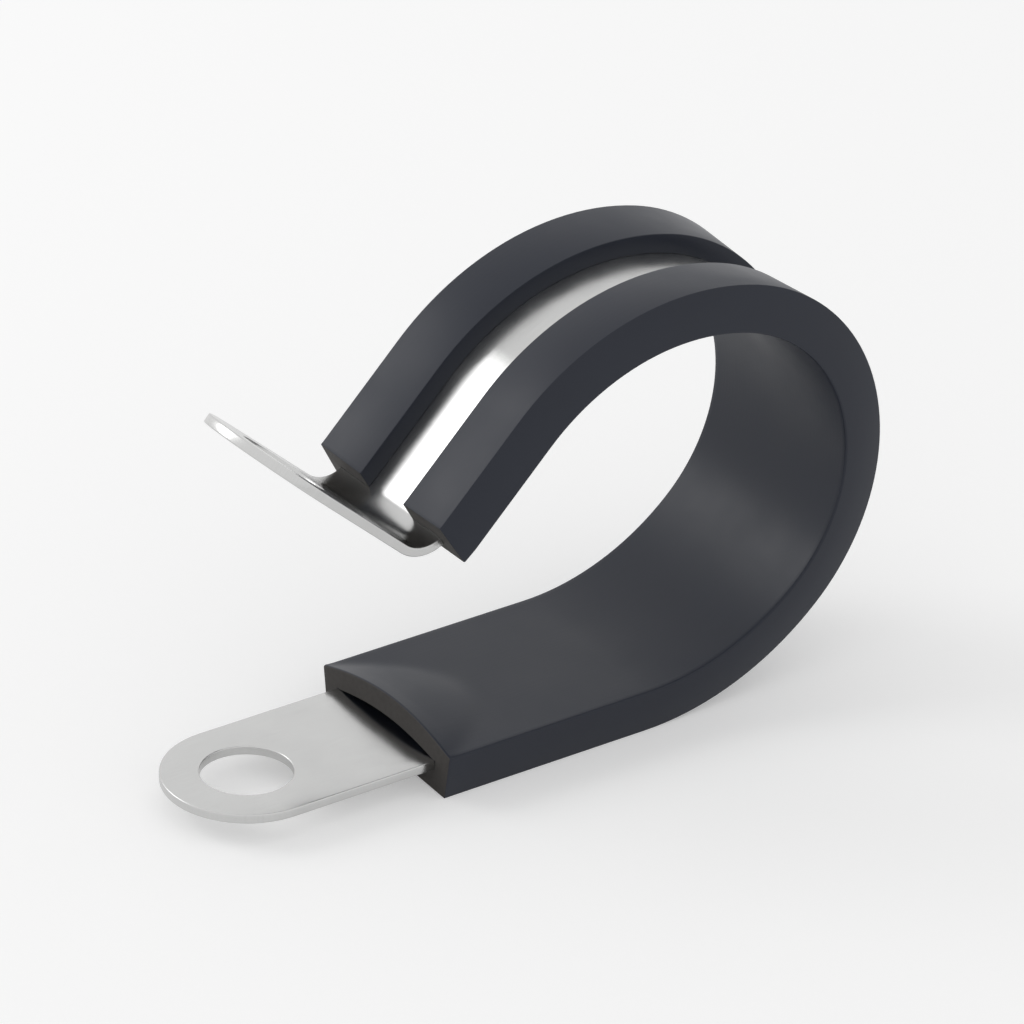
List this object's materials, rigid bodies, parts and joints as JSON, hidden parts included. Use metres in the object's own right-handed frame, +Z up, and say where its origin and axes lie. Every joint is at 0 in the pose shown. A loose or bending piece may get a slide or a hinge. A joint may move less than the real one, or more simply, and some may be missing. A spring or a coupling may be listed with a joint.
{
  "type": "rubber-lined P clip",
  "caption": "Rubber-lined steel P clip, sprung open, that grips a cable or pipe and is held by one bolt through both end tabs.",
  "frame": {"origin": "centre of the lower fixing hole on the underside of the band", "axes": "+X along the lower tab into the loop, +Y across the band, along the cable, +Z up out of the lower tab"},
  "size_m": [0.0542, 0.0154, 0.0334],
  "materials": {
    "steel": "satin, finely brushed",
    "rubber": "satin, smooth moulded"
  },
  "bodies": {
    "root": {"band": "steel", "liner": "rubber"}
  },
  "joints": []
}
